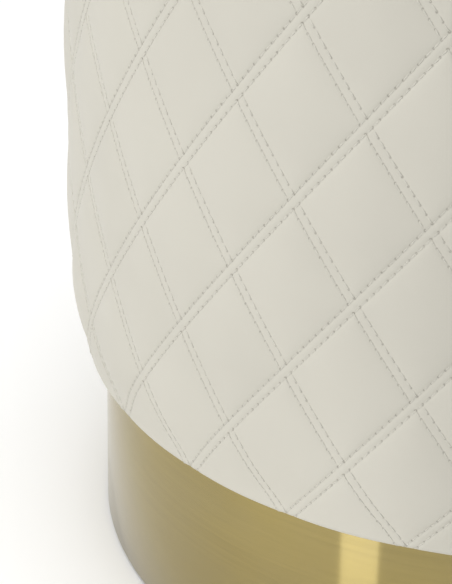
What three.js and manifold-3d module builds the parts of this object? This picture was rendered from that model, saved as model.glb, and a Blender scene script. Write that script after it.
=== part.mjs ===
// A round drum pouf: a quilted leather cover over a plywood and fibreboard drum, bolted to a
// recessed plinth that is wrapped in a brushed metal band. Millimetres, +Z up. The origin is on
// the floor at the centre of the pouf, and the band's closing seam is at the back, on +Y.
import * as THREE from "three";
import { mergeVertices } from "three/addons/utils/BufferGeometryUtils.js";
import Module from "manifold-3d";

const wasm = await Module();
wasm.setup();

// ---- Driving dimensions ----

// Overall
const rimHeight = 102; // floor to the underside of the drum
const sideHeight = 336.6; // underside of the drum to the middle of the piping
const crownRise = 21.4; // middle of the piping to the top of the seat
const drumRadius = 208; // outside of the quilted side
const plinthRecess = 18; // outside of the side to the outside of the metal band
const gap = 0.3; // between pieces that touch

// Quilted cover
const coverThickness = 3; // leather with the wadding quilted to it
const rimTuck = 8.7; // how far the side is pulled in at its lower edge
const tuckHeight = 73; // height at which the side reaches its full radius
const tuckPower = 2.6; // how quickly the pull fades with height
const returnGrip = 40; // leather turned in between drum and plinth, inwards from the band
const pipingRadius = 3;
const pipingInset = 1.5; // piping's middle to the outside of the side
const shoulderWidth = 26; // rounded edge of the seat, inwards
const crownLift = 5.1; // top of the rounded edge to the top of the seat
const seatFlatRadius = 60; // level middle of the seat

// Padding
const sideFoamThickness = 12;
const waddingThickness = 6;
const seatFoamThickness = 50; // at the middle of the seat

// Drum frame
const wallThickness = 3;
const drumBoardThickness = 15;
const seatBoardThickness = 15;
const ventRadius = 15; // air hole in the seat board
const postCount = 6;
const postWidth = 40; // along the wall
const postDepth = 25; // towards the middle
const postSetback = 4; // post's outer face to the edge of the boards

// Plinth
const bandThickness = 1;
const bandLift = 2.2; // floor to the band's lower edge
const bandSeam = 0.6; // butt gap between the band's ends
const hoopThickness = 4;
const plinthBoardThickness = 12;
const blockWidth = 45;
const blockDepth = 30;
const blockSetback = 5;
const dustCoverThickness = 0.5;
const dustCoverMargin = 4; // edge of the dust cover to the edge of its board
const accessRadius = 20; // holes in the lower board for a socket spanner
const timberEase = 2; // corners of the blocks and posts, eased
const screwPoint = 2; // tapered end of a wood screw

// Glides
const glideCount = 6;
const glideInset = 34; // edge of the lower board to a glide's middle
const glideRadius = 14;
const glideHeight = 5;
const glideChamfer = 1.6;
const glideRecess = 3.2; // depth of the pocket for the screw head
const glideScrewRadius = 2;
const glideHeadRadius = 4.5;
const glideHeadHeight = 1.7;
const glideScrewGrip = 9; // length of shank in the board

// Bolts that hold the drum on the plinth
const boltCount = 3;
const boltInset = 30; // turned-in leather to a bolt's middle
const boltRadius = 4;
const boltHeadRadius = 7.5; // across the corners
const boltHeadHeight = 5.3;
const boltTail = 4; // thread past the nut
const washerRadius = 11;
const washerThickness = 1.6;
const nutBarrelWall = 0.9;
const nutBarrelLength = 9;
const nutFlangeRadius = 11;
const nutFlangeThickness = 1.5;

// Screws in the band's two ends
const bandScrewRadius = 1.6;
const bandScrewHeadRadius = 3.3;
const bandScrewHeadHeight = 1.5;
const bandScrewHeadEase = 0.8;
const bandScrewLength = 17; // under the head
const bandScrewSpread = 9; // from the seam to each screw

// Facets around a circle
const roundSegments = 48;
const smallSegments = 12;
const shoulderSteps = 4;
const tuckSteps = 5;
const tuckSpacing = 1.6; // over 1 puts the steps closer together near the rim
const pipingSides = 8;
const boltHeadSides = 6;

// ---- Sizes that follow ----

// Plinth, from the floor up
const baseRadius = drumRadius - plinthRecess;
const dustCoverBottom = glideHeight + gap;
const lowerBoardBottom = dustCoverBottom + dustCoverThickness + gap;
const lowerBoardTop = lowerBoardBottom + plinthBoardThickness;
const plinthTop = rimHeight - gap;
const upperBoardBottom = plinthTop - plinthBoardThickness;
const bandInner = baseRadius - bandThickness;
const hoopOuter = bandInner - gap;
const hoopInner = hoopOuter - hoopThickness;
const plinthBoardRadius = hoopInner - gap;
const glideCircle = plinthBoardRadius - glideInset;

// Drum, from the underside up
const pipingZ = rimHeight + sideHeight;
const seatTop = pipingZ + crownRise;
const returnTop = rimHeight + coverThickness;
const drumBoardBottom = returnTop + gap;
const drumBoardTop = drumBoardBottom + drumBoardThickness;
const seatFoamBottom = seatTop - coverThickness - waddingThickness - 2 * gap - seatFoamThickness;
const seatBoardTop = seatFoamBottom - gap;
const seatBoardBottom = seatBoardTop - seatBoardThickness;
const sideFoamOuterInset = coverThickness + gap;
const sideFoamInner = drumRadius - sideFoamOuterInset - sideFoamThickness;
const wallOuter = sideFoamInner - gap;
const wallInner = wallOuter - wallThickness;
const drumBoardRadius = wallInner - gap;
const returnInner = baseRadius - returnGrip;
const boltCircle = returnInner - boltInset;
const boltBore = boltRadius + gap;
const nutBarrelRadius = boltBore + nutBarrelWall;
const pipingCircle = drumRadius - pipingInset;
const seatRimZ = pipingZ + pipingRadius + gap;
const shoulderHeight = seatTop - seatRimZ - crownLift;

// ---- Colours and finishes ----

const finish = (color, roughness, metalness = 0) =>
  new THREE.MeshStandardMaterial({ color, roughness, metalness });
const finishes = {
  leather: finish(0xd9d6c8, 0.55),
  brass: finish(0xc0ae7c, 0.3, 1),
  steel: finish(0xb9bcc0, 0.35, 1),
  plywood: finish(0xc9a878, 0.75),
  fibreboard: finish(0x9c7a54, 0.8),
  softwood: finish(0xdcbf8f, 0.75),
  foam: finish(0xf0e6bf, 0.9),
  wadding: finish(0xf4f4f0, 0.95),
  dustCover: finish(0x1c1c1d, 0.9),
  plastic: finish(0x2a2a2c, 0.5),
};

// ---- Geometry helpers ----

// A solid turned about Z, from a profile of [radius, z] points taken anticlockwise.
function turned(profile, segments = roundSegments) {
  const points = profile.map(([radius, z]) => new THREE.Vector2(radius, z));
  return new THREE.LatheGeometry(points, segments).rotateX(Math.PI / 2);
}

// A ring-shaped solid: its profile closes on itself.
const turnedRing = (profile, segments) => turned([...profile, profile[0]], segments);

const polar = (radius, angle) => [radius * Math.cos(angle), radius * Math.sin(angle)];

function circlePoints(radius, segments, [x, y] = [0, 0]) {
  return Array.from({ length: segments }, (_, i) => {
    const [dx, dy] = polar(radius, (2 * Math.PI * i) / segments);
    return new THREE.Vector2(x + dx, y + dy);
  });
}

// A flat piece between two heights, from an outline and round holes of { at, radius }.
function flatPiece(outline, bottom, top, holes = []) {
  const shape = new THREE.Shape(outline);
  for (const { at, radius } of holes)
    shape.holes.push(new THREE.Path(circlePoints(radius, smallSegments, at)));
  const extruded = new THREE.ExtrudeGeometry(shape, { depth: top - bottom, bevelEnabled: false });
  return extruded.translate(0, 0, bottom);
}

const disc = (radius, bottom, top, holes) =>
  flatPiece(circlePoints(radius, roundSegments), bottom, top, holes);

const tube = (inner, outer, bottom, top) =>
  turnedRing([[inner, bottom], [outer, bottom], [outer, top], [inner, top]]);

// A flat-ended rod along Z.
const rodProfile = (radius, bottom, top) => [[0, bottom], [radius, bottom], [radius, top], [0, top]];

// An upright piece of timber with its corners eased, its outer face at the given radius.
function upright(width, depth, outerFace, angle, bottom, top) {
  const ease = timberEase;
  const [halfWidth, inner] = [width / 2, outerFace - depth];
  const outline = [
    [outerFace, -halfWidth + ease], [outerFace, halfWidth - ease],
    [outerFace - ease, halfWidth], [inner + ease, halfWidth],
    [inner, halfWidth - ease], [inner, -halfWidth + ease],
    [inner + ease, -halfWidth], [outerFace - ease, -halfWidth],
  ].map(([x, y]) => new THREE.Vector2(x, y));
  return flatPiece(outline, bottom, top).rotateZ(angle);
}

// A solid for joining and cutting: only shared positions are kept.
function solidFrom(geometry) {
  const plain = geometry.clone();
  plain.deleteAttribute("normal");
  plain.deleteAttribute("uv");
  const merged = mergeVertices(plain, 1e-3);
  return new wasm.Manifold(
    new wasm.Mesh({
      numProp: 3,
      vertProperties: merged.attributes.position.array,
      triVerts: new Uint32Array(merged.index.array),
    }),
  );
}

function geometryFrom(solid) {
  const mesh = solid.getMesh();
  const geometry = new THREE.BufferGeometry();
  geometry.setAttribute("position", new THREE.BufferAttribute(mesh.vertProperties, 3));
  geometry.setIndex(new THREE.BufferAttribute(mesh.triVerts, 1));
  geometry.computeVertexNormals();
  return geometry;
}

// The geometry with each of the cutters taken away.
function cutBy(geometry, cutters) {
  const solid = cutters.reduce((left, cutter) => left.subtract(solidFrom(cutter)), solidFrom(geometry));
  return geometryFrom(solid);
}

// ---- Shared shapes ----

// Radius of the side's outer face at a height: full above the tuck, drawn in towards the rim.
function sideRadius(z) {
  const fade = Math.max(0, 1 - (z - rimHeight) / tuckHeight);
  return drumRadius - rimTuck * fade ** tuckPower;
}

// Points up the tucked part of the side from a starting height, set in from its outer face.
function tuckCurve(fromZ, inset) {
  return Array.from({ length: tuckSteps + 1 }, (_, i) => {
    const z = fromZ + (rimHeight + tuckHeight - fromZ) * (i / tuckSteps) ** tuckSpacing;
    return [sideRadius(z) - inset, z];
  });
}

// The seat's crowned outline from its rim to the axis, set in from the outer face.
function crownCurve(inset) {
  const shoulder = Array.from({ length: shoulderSteps + 1 }, (_, i) => {
    const turn = ((Math.PI / 2) * i) / shoulderSteps;
    return [
      pipingCircle - shoulderWidth + (shoulderWidth - inset) * Math.cos(turn),
      seatRimZ + (shoulderHeight - inset) * Math.sin(turn),
    ];
  });
  return [...shoulder, [seatFlatRadius, seatTop - inset], [0, seatTop - inset]];
}

// Places evenly spaced on a circle, the first at the given angle.
const around = (count, firstAngle = 0) =>
  Array.from({ length: count }, (_, i) => firstAngle + (2 * Math.PI * i) / count);

const glideAngles = around(glideCount);
const boltAngles = around(boltCount, Math.PI / postCount);
const boltPlaces = boltAngles.map((angle) => polar(boltCircle, angle));
const glidePlaces = glideAngles.map((angle) => polar(glideCircle, angle));
const holesAt = (places, radius) => places.map((at) => ({ at, radius }));

// ---- Plinth ----

// A screw driven inwards through the back of the band: its middle line, at a side and a height.
const bandScrewHeights = [
  (lowerBoardBottom + lowerBoardTop) / 2,
  (upperBoardBottom + plinthTop) / 2,
];
const bandScrewPlaces = bandScrewHeights.flatMap((z) => [
  { x: -bandScrewSpread, z },
  { x: bandScrewSpread, z },
]);
// A rod profile drawn along Z becomes one along -Y, pointing to the middle of the plinth.
const bandScrewShape = (profile, { x, z }) =>
  turned(profile, smallSegments).rotateX(Math.PI / 2).translate(x, baseRadius, z);
const bandScrewCutters = bandScrewPlaces.map((place) =>
  bandScrewShape(rodProfile(bandScrewRadius + gap, -2 * gap, bandScrewLength + gap), place),
);

function bandScrew(place) {
  const headBack = -gap - bandScrewHeadHeight;
  return bandScrewShape(
    [
      [0, headBack], [bandScrewHeadRadius - bandScrewHeadEase, headBack],
      [bandScrewHeadRadius, headBack + bandScrewHeadEase], [bandScrewHeadRadius, -gap],
      [bandScrewRadius, -gap], [bandScrewRadius, bandScrewLength - screwPoint], [0, bandScrewLength],
    ],
    place,
  );
}

// The metal band is a sheet rolled round the plinth, its ends meeting at the back.
function baseBand() {
  const halfSeam = bandSeam / 2 / baseRadius;
  const start = Math.PI / 2 + halfSeam;
  const sweep = 2 * Math.PI - 2 * halfSeam;
  const angles = Array.from({ length: roundSegments + 1 }, (_, i) => start + (sweep * i) / roundSegments);
  const outer = angles.map((angle) => new THREE.Vector2(...polar(baseRadius, angle)));
  const inner = angles.map((angle) => new THREE.Vector2(...polar(bandInner, angle))).reverse();
  return cutBy(flatPiece([...outer, ...inner], bandLift, plinthTop), bandScrewCutters);
}

const plinthHoop = () =>
  cutBy(tube(hoopInner, hoopOuter, lowerBoardBottom, plinthTop), bandScrewCutters);

function plinthLowerBoard() {
  const holes = [
    ...holesAt(boltPlaces, accessRadius),
    ...holesAt(glidePlaces, glideScrewRadius + gap),
  ];
  return cutBy(disc(plinthBoardRadius, lowerBoardBottom, lowerBoardTop, holes), bandScrewCutters);
}

const plinthUpperBoard = () =>
  cutBy(
    disc(plinthBoardRadius, upperBoardBottom, plinthTop, holesAt(boltPlaces, boltBore)),
    bandScrewCutters,
  );

const plinthBlock = (angle) =>
  upright(
    blockWidth, blockDepth, plinthBoardRadius - blockSetback, angle,
    lowerBoardTop + gap, upperBoardBottom - gap,
  );

const baseDustCover = () =>
  disc(
    plinthBoardRadius - dustCoverMargin, dustCoverBottom, dustCoverBottom + dustCoverThickness,
    holesAt(glidePlaces, glideScrewRadius + gap),
  );

// ---- Glides ----

const glide = () =>
  turnedRing(
    [
      [glideHeadRadius + gap, 0], [glideRadius - glideChamfer, 0], [glideRadius, glideChamfer],
      [glideRadius, glideHeight], [glideScrewRadius + gap, glideHeight],
      [glideScrewRadius + gap, glideRecess], [glideHeadRadius + gap, glideRecess],
    ],
    smallSegments,
  );

function glideScrew() {
  const headTop = glideRecess - gap;
  const tip = lowerBoardBottom + glideScrewGrip;
  return turned(
    [
      [0, headTop - glideHeadHeight], [glideHeadRadius, headTop - glideHeadHeight],
      [glideHeadRadius, headTop], [glideScrewRadius, headTop],
      [glideScrewRadius, tip - screwPoint], [0, tip],
    ],
    smallSegments,
  );
}

// ---- Bolts ----

const nutFlangeBottom = drumBoardTop + gap;
const washerTop = upperBoardBottom - gap;
const boltHeadTop = washerTop - washerThickness - gap;

// The shank starts inside the head, so the two join into one solid.
function drumBolt() {
  const head = turned(rodProfile(boltHeadRadius, boltHeadTop - boltHeadHeight, boltHeadTop), 6);
  const tip = nutFlangeBottom + nutFlangeThickness + boltTail;
  const shank = turned(rodProfile(boltRadius, boltHeadTop - boltHeadHeight / 2, tip), smallSegments);
  return geometryFrom(solidFrom(head).add(solidFrom(shank)));
}

const boltWasher = () =>
  turnedRing(
    [
      [boltBore, washerTop - washerThickness], [washerRadius, washerTop - washerThickness],
      [washerRadius, washerTop], [boltBore, washerTop],
    ],
    smallSegments,
  );

function flangedNut() {
  const flangeTop = nutFlangeBottom + nutFlangeThickness;
  const barrelBottom = nutFlangeBottom - nutBarrelLength;
  return turnedRing(
    [
      [boltBore, barrelBottom], [nutBarrelRadius, barrelBottom], [nutBarrelRadius, nutFlangeBottom],
      [nutFlangeRadius, nutFlangeBottom], [nutFlangeRadius, flangeTop], [boltBore, flangeTop],
    ],
    smallSegments,
  );
}

// ---- Drum frame ----

const drumBoard = () =>
  disc(drumBoardRadius, drumBoardBottom, drumBoardTop, holesAt(boltPlaces, nutBarrelRadius + gap));

// Fills the middle of the underside, level with the leather turned in around it.
const packingDisc = () =>
  disc(returnInner - gap, rimHeight, returnTop, holesAt(boltPlaces, boltBore));

const drumPost = (angle) =>
  upright(
    postWidth, postDepth, drumBoardRadius - postSetback, angle,
    drumBoardTop + gap, seatBoardBottom - gap,
  );

const drumWall = () => tube(wallInner, wallOuter, drumBoardBottom, seatBoardTop);

const seatBoard = () =>
  disc(drumBoardRadius, seatBoardBottom, seatBoardTop, holesAt([[0, 0]], ventRadius));

// ---- Padding and cover ----

const sideFoam = () =>
  turnedRing([
    [sideFoamInner, drumBoardBottom],
    ...tuckCurve(drumBoardBottom, sideFoamOuterInset),
    [drumRadius - sideFoamOuterInset, seatBoardTop],
    [sideFoamInner, seatBoardTop],
  ]);

// A quilted tube: turned in under the drum at the bottom, cut square under the piping at the top.
function sideCover() {
  const topEdge = pipingZ - pipingRadius - gap;
  const inside = tuckCurve(returnTop, coverThickness).reverse();
  return turnedRing([
    [returnInner, rimHeight],
    [sideRadius(returnTop) - coverThickness, rimHeight],
    ...tuckCurve(returnTop, 0),
    [drumRadius, topEdge],
    [drumRadius - coverThickness, topEdge],
    ...inside,
    [returnInner, returnTop],
  ]);
}

const piping = () =>
  new THREE.TorusGeometry(pipingCircle, pipingRadius, pipingSides, roundSegments).translate(0, 0, pipingZ);

const topCover = () => turned([...crownCurve(coverThickness).reverse(), ...crownCurve(0)]);

const waddingInset = coverThickness + gap;
const seatFoamInset = waddingInset + waddingThickness + gap;

// A crowned cap whose skirt runs down inside the piping, round the seat foam.
function seatWadding() {
  const innerInset = seatFoamInset - gap;
  const skirtOuter = pipingCircle - pipingRadius - gap;
  return turned([
    ...crownCurve(innerInset).reverse(),
    [pipingCircle - innerInset, seatFoamBottom],
    [skirtOuter, seatFoamBottom],
    [skirtOuter, seatRimZ - 2 * gap],
    ...crownCurve(waddingInset),
  ]);
}

const seatFoam = () =>
  turned([
    [0, seatFoamBottom],
    [pipingCircle - seatFoamInset, seatFoamBottom],
    ...crownCurve(seatFoamInset),
  ]);

// ---- Assembly ----

const pouf = new THREE.Group();

function add(parent, name, geometry, material, [x, y] = [0, 0]) {
  const mesh = new THREE.Mesh(geometry, material);
  mesh.name = name;
  mesh.position.set(x, y, 0);
  parent.add(mesh);
}

const plinth = new THREE.Group();
add(plinth, "base_band", baseBand(), finishes.brass);
bandScrewPlaces.forEach((place, i) =>
  add(plinth, `band_screw_${i + 1}`, bandScrew(place), finishes.brass),
);
add(plinth, "plinth_hoop", plinthHoop(), finishes.plywood);
add(plinth, "plinth_lower_board", plinthLowerBoard(), finishes.plywood);
add(plinth, "plinth_upper_board", plinthUpperBoard(), finishes.plywood);
around(postCount).forEach((angle, i) =>
  add(plinth, `plinth_block_${i + 1}`, plinthBlock(angle), finishes.softwood),
);
add(plinth, "base_dust_cover", baseDustCover(), finishes.dustCover);
glidePlaces.forEach((place, i) => {
  add(plinth, `glide_${i + 1}`, glide(), finishes.plastic, place);
  add(plinth, `glide_screw_${i + 1}`, glideScrew(), finishes.steel, place);
});
pouf.add(plinth);

const drum = new THREE.Group();
add(drum, "drum_board", drumBoard(), finishes.plywood);
add(drum, "packing_disc", packingDisc(), finishes.fibreboard);
around(postCount).forEach((angle, i) =>
  add(drum, `drum_post_${i + 1}`, drumPost(angle), finishes.softwood),
);
add(drum, "drum_wall", drumWall(), finishes.fibreboard);
add(drum, "seat_board", seatBoard(), finishes.plywood);
boltPlaces.forEach((place, i) => {
  add(drum, `drum_bolt_${i + 1}`, drumBolt(), finishes.steel, place);
  add(drum, `bolt_washer_${i + 1}`, boltWasher(), finishes.steel, place);
  add(drum, `flanged_nut_${i + 1}`, flangedNut(), finishes.steel, place);
});
pouf.add(drum);

const upholstery = new THREE.Group();
add(upholstery, "side_foam", sideFoam(), finishes.foam);
add(upholstery, "side_cover", sideCover(), finishes.leather);
add(upholstery, "seat_foam", seatFoam(), finishes.foam);
add(upholstery, "seat_wadding", seatWadding(), finishes.wadding);
add(upholstery, "top_cover", topCover(), finishes.leather);
add(upholstery, "piping", piping(), finishes.leather);
pouf.add(upholstery);

export default pouf;
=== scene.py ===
"""Round drum pouf: a quilted leather side and seat on a plinth wrapped in brushed metal.

Laid out as an add-on: each piece or group of like pieces has its own operator, the sizes and
colours are properties, and main() runs the operators in order. Everything is in metres, in the
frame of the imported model, which gives the places of all pieces.
"""

import math

import bpy
import numpy as np
from bpy.props import FloatProperty, FloatVectorProperty, IntProperty, PointerProperty
from mathutils import Matrix, Vector


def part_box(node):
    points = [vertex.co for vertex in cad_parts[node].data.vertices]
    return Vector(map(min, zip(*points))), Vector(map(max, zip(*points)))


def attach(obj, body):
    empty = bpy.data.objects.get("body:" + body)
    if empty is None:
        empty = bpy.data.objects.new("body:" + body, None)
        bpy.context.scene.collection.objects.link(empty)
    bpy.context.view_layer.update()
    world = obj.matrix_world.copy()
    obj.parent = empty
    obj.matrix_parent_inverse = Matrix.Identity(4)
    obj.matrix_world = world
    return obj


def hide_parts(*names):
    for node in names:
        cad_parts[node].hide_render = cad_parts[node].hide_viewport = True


bl_info = {
    "name": "Quilted Drum Pouf",
    "version": (1, 0, 0),
    "blender": (4, 5, 0),
    "location": "View3D > Sidebar > Pouf",
    "description": "Builds the cover, stitching, seat, plinth band and fittings of a drum pouf",
    "category": "Object",
}

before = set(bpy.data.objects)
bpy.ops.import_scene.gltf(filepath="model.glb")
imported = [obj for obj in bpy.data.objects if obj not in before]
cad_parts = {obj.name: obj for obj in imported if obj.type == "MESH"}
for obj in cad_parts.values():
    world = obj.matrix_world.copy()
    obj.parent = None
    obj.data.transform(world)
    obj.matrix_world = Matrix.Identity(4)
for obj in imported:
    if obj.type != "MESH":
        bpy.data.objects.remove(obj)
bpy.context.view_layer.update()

MM = 0.001
TAU = 2 * math.pi
WELD = 0.01 * MM  # points closer than this are one
FRONT = -math.pi / 2  # the side of the drum that carries the middle of the pattern
BACK = math.pi / 2

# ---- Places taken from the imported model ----

SIDE_LOW, SIDE_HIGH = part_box("side_cover")
SEAT_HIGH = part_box("top_cover")[1]
PIPE_LOW, PIPE_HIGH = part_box("piping")
BAND_LOW, BAND_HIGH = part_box("base_band")
RIM_Z = SIDE_LOW.z
DRUM_RADIUS = SIDE_HIGH.x
SIDE_TOP = SIDE_HIGH.z
PIPE_RADIUS = (PIPE_HIGH.z - PIPE_LOW.z) / 2
PIPE_Z = (PIPE_HIGH.z + PIPE_LOW.z) / 2
PIPE_CIRCLE = PIPE_HIGH.x - PIPE_RADIUS
BAND_RADIUS = BAND_HIGH.x

# ---- Sizes and colours that a user would change ----


def length(label, text, default_mm):
    return FloatProperty(
        name=label, description=text, default=default_mm * MM, unit="LENGTH", subtype="DISTANCE"
    )


def paint(label, text, default):
    return FloatVectorProperty(
        name=label, description=text, default=default, size=3, min=0, max=1, subtype="COLOR"
    )


class PoufQuilt(bpy.types.PropertyGroup):
    """Sizes of the quilting, shared by the side and the seat."""

    diamonds: IntProperty(name="Diamonds", description="Diamonds around the drum", default=24)
    rows: IntProperty(name="Rows", description="Half diamonds up the side", default=9)
    stitches: IntProperty(
        name="Stitches", description="Stitches along one edge of a diamond", default=11
    )
    gauge: length("Gauge", "Distance between the two rows of a twin seam", 3.8)
    lift: length("Lift", "Height of the lowest crossings above the rim", 1.5)
    puff: length("Puff", "Height of a diamond's middle over its seams", 1.6)
    groove: length("Groove", "Depth of the furrow along each row of stitches", 0.32)
    groove_width: length("Groove width", "Half width of the furrow", 0.6)
    thread: length("Thread", "Thickness of the sewing thread", 0.5)
    sewn_in: length("Sewn in", "How far the seams are drawn in from the drum's full size", 0.9)
    drift: length("Drift", "How far the pattern's middle stands off the front", 1.27)
    sag: length("Sag", "How far the pattern is drawn down at the rim", 3)
    sag_height: length("Sag height", "Height over which the sag fades", 45)
    stretch: length("Stretch", "Pull of the leather around the drum, most at its quarters", 4.4)


class PoufShape(bpy.types.PropertyGroup):
    """Sizes of the cover, the seat and the fittings."""

    tuck: length("Tuck", "How far the side is pulled in at the rim", 6.7)
    tuck_height: length("Tuck height", "Height at which half of the pull is gone", 18)
    corner: length("Corner", "Radius of the turn under the drum", 3)
    turned_in: length("Turned in", "Leather turned in under the drum", 47)
    cover: length("Cover", "Thickness of the quilted goods", 3)
    top_tuck: length("Top tuck", "How far the side is pulled in below the piping", 2)
    shoulder_width: length("Shoulder width", "Rounded edge of the seat, inwards", 26)
    shoulder_height: length("Shoulder height", "Rise of the rounded edge", 13)
    crown: length("Crown", "Rise of the seat inside its rounded edge", 5.1)
    sheet_metal: length("Sheet metal", "Thickness of the metal band", 1)
    band_seam: length("Band seam", "Butt gap between the ends of the band", 0.6)


class PoufColours(bpy.types.PropertyGroup):
    """Colours of the finishes."""

    leather: paint("Leather", "Cream leather of the cover", (0.55, 0.529, 0.461))
    thread: paint("Thread", "Sewing thread", (0.60, 0.582, 0.512))
    brass: paint("Brass", "Brushed metal band", (0.300, 0.235, 0.080))
    plywood: paint("Plywood", "Boards and hoop", (0.60, 0.43, 0.24))
    softwood: paint("Softwood", "Posts and blocks", (0.70, 0.52, 0.30))
    fibreboard: paint("Fibreboard", "Drum wall and packing disc", (0.35, 0.22, 0.11))
    foam: paint("Foam", "Upholstery foam", (0.85, 0.78, 0.52))
    wadding: paint("Wadding", "Polyester wadding", (0.88, 0.88, 0.85))
    felt: paint("Dust cover", "Black non-woven cloth", (0.014, 0.014, 0.015))
    plastic: paint("Glides", "Black plastic", (0.02, 0.02, 0.022))
    steel: paint("Steel", "Zinc-plated fittings", (0.55, 0.56, 0.57))


def shape():
    return bpy.context.scene.pouf_shape


def colours():
    return bpy.context.scene.pouf_colours


# ---- Small helpers ----


def deselect_all():
    if bpy.context.object and bpy.context.object.mode != "OBJECT":
        bpy.ops.object.mode_set(mode="OBJECT")
    bpy.ops.object.select_all(action="DESELECT")


def activate(piece):
    deselect_all()
    piece.select_set(True)
    bpy.context.view_layer.objects.active = piece
    return piece


def edit(piece):
    activate(piece)
    bpy.ops.object.mode_set(mode="EDIT")


def edit_all(piece):
    edit(piece)
    bpy.ops.mesh.select_all(action="SELECT")


def leave_edit():
    bpy.ops.object.mode_set(mode="OBJECT")


def apply_modifiers(piece):
    activate(piece)
    for modifier in list(piece.modifiers):
        bpy.ops.object.modifier_apply(modifier=modifier.name)


def settle(piece):
    """The object ends at the origin, unturned and unscaled, with its place in its mesh."""
    activate(piece)
    bpy.ops.object.transform_apply(location=True, rotation=True, scale=True)
    return piece


def smooth(piece, degrees=40):
    activate(piece)
    bpy.ops.object.shade_smooth_by_angle(angle=math.radians(degrees))


def read(elements, key, width=1, kind=float):
    """One value, or a row of them, for each of a mesh's elements."""
    values = np.empty(len(elements) * width, kind)
    elements.foreach_get(key, values)
    return values.reshape(-1, width) if width > 1 else values


def points_of(piece):
    return read(piece.data.vertices, "co", 3)


def set_points(piece, points):
    piece.data.vertices.foreach_set("co", np.asarray(points, float).ravel())
    piece.data.update()


def select_only(piece, mask, domain):
    """Selects exactly the masked vertices, edges or polygons; the piece is in object mode."""
    mesh = piece.data
    for elements in (mesh.vertices, mesh.edges, mesh.polygons):
        elements.foreach_set("select", np.zeros(len(elements), bool))
    getattr(mesh, domain).foreach_set("select", np.asarray(mask, bool))
    mesh.update()


SELECT_MODES = {"vertices": "VERT", "edges": "EDGE", "polygons": "FACE"}


def edit_selected(piece, mask, domain):
    """Opens the piece in edit mode with exactly the masked elements selected."""
    edit(piece)
    bpy.ops.mesh.select_mode(type=SELECT_MODES[domain])
    bpy.ops.mesh.select_all(action="DESELECT")
    leave_edit()
    select_only(piece, mask, domain)
    bpy.ops.object.mode_set(mode="EDIT")


def remove(piece, mask, domain):
    """Deletes exactly the masked vertices or polygons."""
    edit_selected(piece, mask, domain)
    bpy.ops.mesh.delete(type=SELECT_MODES[domain])
    leave_edit()


def face_centres(piece):
    return read(piece.data.polygons, "center", 3)


def open_edges(piece):
    """True for each edge that has a face on one side only."""
    sides = read(piece.data.loops, "edge_index", kind=int)
    return np.bincount(sides, minlength=len(piece.data.edges)) == 1


def close_doubles(piece):
    edit_all(piece)
    bpy.ops.mesh.remove_doubles(threshold=WELD)
    leave_edit()


def face_outwards(piece):
    edit_all(piece)
    bpy.ops.mesh.normals_make_consistent(inside=False)
    leave_edit()


def draw_rings(radius, height, steps):
    """Extrudes the selected ring of edges through a list of (radius, height)."""
    for r, z in steps:
        bpy.ops.mesh.extrude_edges_move(TRANSFORM_OT_translate={"value": (0, 0, z - height)})
        scale = r / radius
        bpy.ops.transform.resize(value=(scale, scale, 1), center_override=(0, 0, z))
        radius, height = r, z


def copies(piece, count, offset, merge=False):
    array = piece.modifiers.new("Copies", "ARRAY")
    array.count = count
    array.use_relative_offset = False
    array.use_constant_offset = True
    array.constant_offset_displace = offset
    array.use_merge_vertices = merge
    array.merge_threshold = WELD
    apply_modifiers(piece)


def ease(piece, width, segments=3, degrees=30):
    bevel = piece.modifiers.new("Ease", "BEVEL")
    bevel.width = width
    bevel.segments = segments
    bevel.limit_method = "ANGLE"
    bevel.angle_limit = math.radians(degrees)
    apply_modifiers(piece)


def finished(piece, name, material, replaces=()):
    piece.name = name
    piece.data.name = name
    piece.data.materials.clear()
    piece.data.materials.append(material)
    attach(piece, "root")
    if replaces:
        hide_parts(*replaces)
    return piece


def copied(piece, name):
    twin = piece.copy()
    twin.data = piece.data.copy()
    twin.name = name
    bpy.context.scene.collection.objects.link(twin)
    return twin


def smoothstep(x, low, high):
    t = np.clip((x - low) / (high - low), 0, 1)
    return t * t * (3 - 2 * t)


def around(r, angle, z):
    return np.column_stack([r * np.cos(angle), r * np.sin(angle), z])


def turned(x, y, angle):
    c, s = math.cos(angle), math.sin(angle)
    return x * c - y * s, x * s + y * c


def run_along(line):
    """Length along a line of points, from its first point to each."""
    return np.concatenate([[0], np.cumsum(np.hypot(*np.diff(line, axis=0).T))])


def directions(line, along):
    tangent = np.gradient(line, along, axis=0)
    return tangent / np.linalg.norm(tangent, axis=1, keepdims=True)


def lathe(profile, steps, start=0.0, angle=TAU):
    """A profile of (radius, height) points drawn by extrusion and spun about the upright axis."""
    deselect_all()
    bpy.ops.mesh.primitive_plane_add(size=MM, location=(profile[0][0], 0, profile[0][1]))
    piece = settle(bpy.context.object)
    edit(piece)
    bpy.ops.mesh.select_mode(type="VERT")
    bpy.ops.mesh.select_all(action="SELECT")
    bpy.ops.mesh.merge(type="CENTER")
    for (r0, z0), (r1, z1) in zip(profile, profile[1:]):
        step = {"value": (r1 - r0, 0, z1 - z0)}
        bpy.ops.mesh.extrude_vertices_move(TRANSFORM_OT_translate=step)
    bpy.ops.mesh.select_all(action="SELECT")
    if start:
        bpy.ops.transform.rotate(
            value=-start, orient_axis="Z", orient_type="GLOBAL", center_override=(0, 0, 0)
        )
    bpy.ops.mesh.spin(steps=steps, angle=angle, center=(0, 0, 0), axis=(0, 0, 1))
    bpy.ops.mesh.select_all(action="SELECT")
    bpy.ops.mesh.remove_doubles(threshold=0.001 * MM)
    bpy.ops.mesh.normals_make_consistent(inside=False)
    leave_edit()
    return piece


# ---- The quilt's pattern, on the leather laid flat ----
# s runs around the drum and t up it. The crossings stand at whole values of p = t/h + s/w and
# q = t/h - s/w, where w and h are a diamond's width and height. Rows that rise to the right lie
# at whole values of q, and rows that fall to the right at whole values of p.

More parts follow.
